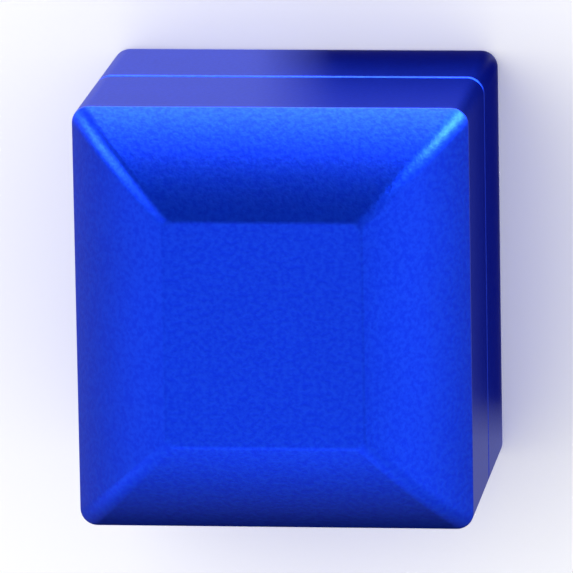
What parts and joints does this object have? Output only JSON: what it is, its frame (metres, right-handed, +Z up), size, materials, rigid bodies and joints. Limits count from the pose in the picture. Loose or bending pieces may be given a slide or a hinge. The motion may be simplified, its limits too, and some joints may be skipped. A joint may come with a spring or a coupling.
{
  "type": "cue chalk case",
  "caption": "Rectangular two-shell metal case for a cube of cue chalk, with a raised pyramid crown on a lift-off magnetic lid.",
  "frame": {"origin": "middle of the plane that the rubber feet stand on", "axes": "+Z up through the crown, +Y along the long side, +X along the short side"},
  "size_m": [0.03, 0.0324, 0.0306],
  "materials": {
    "anodised_shell": "bead blasted and anodised blue, satin",
    "sleeve_rubber": "matt black",
    "lining_rubber": "matt charcoal",
    "foam_pad": "closed cell foam",
    "chalk": "pressed powder, matt",
    "chalk_paper": "plain printed paper",
    "magnet_nickel": "nickel plated",
    "foot_rubber": "matt black"
  },
  "bodies": {
    "base": {"base_shell": "anodised_shell", "chalk_sleeve": "sleeve_rubber", "chalk_cube": "chalk", "chalk_paper": "chalk_paper", "base_pad": "foam_pad", "base_magnet_1": "magnet_nickel", "base_magnet_2": "magnet_nickel", "base_magnet_3": "magnet_nickel", "base_magnet_4": "magnet_nickel", "rubber_foot_1": "foot_rubber", "rubber_foot_2": "foot_rubber", "rubber_foot_3": "foot_rubber", "rubber_foot_4": "foot_rubber"},
    "lid": {"lid_shell": "anodised_shell", "lid_lining": "lining_rubber", "lid_pad": "foam_pad", "lid_magnet_1": "magnet_nickel", "lid_magnet_2": "magnet_nickel", "lid_magnet_3": "magnet_nickel", "lid_magnet_4": "magnet_nickel"}
  },
  "joints": [
    {"name": "lid_lift", "type": "slide", "parent": "base", "child": "lid", "axis": [0, 0, 1], "range_m": [0, 0.032]}
  ]
}
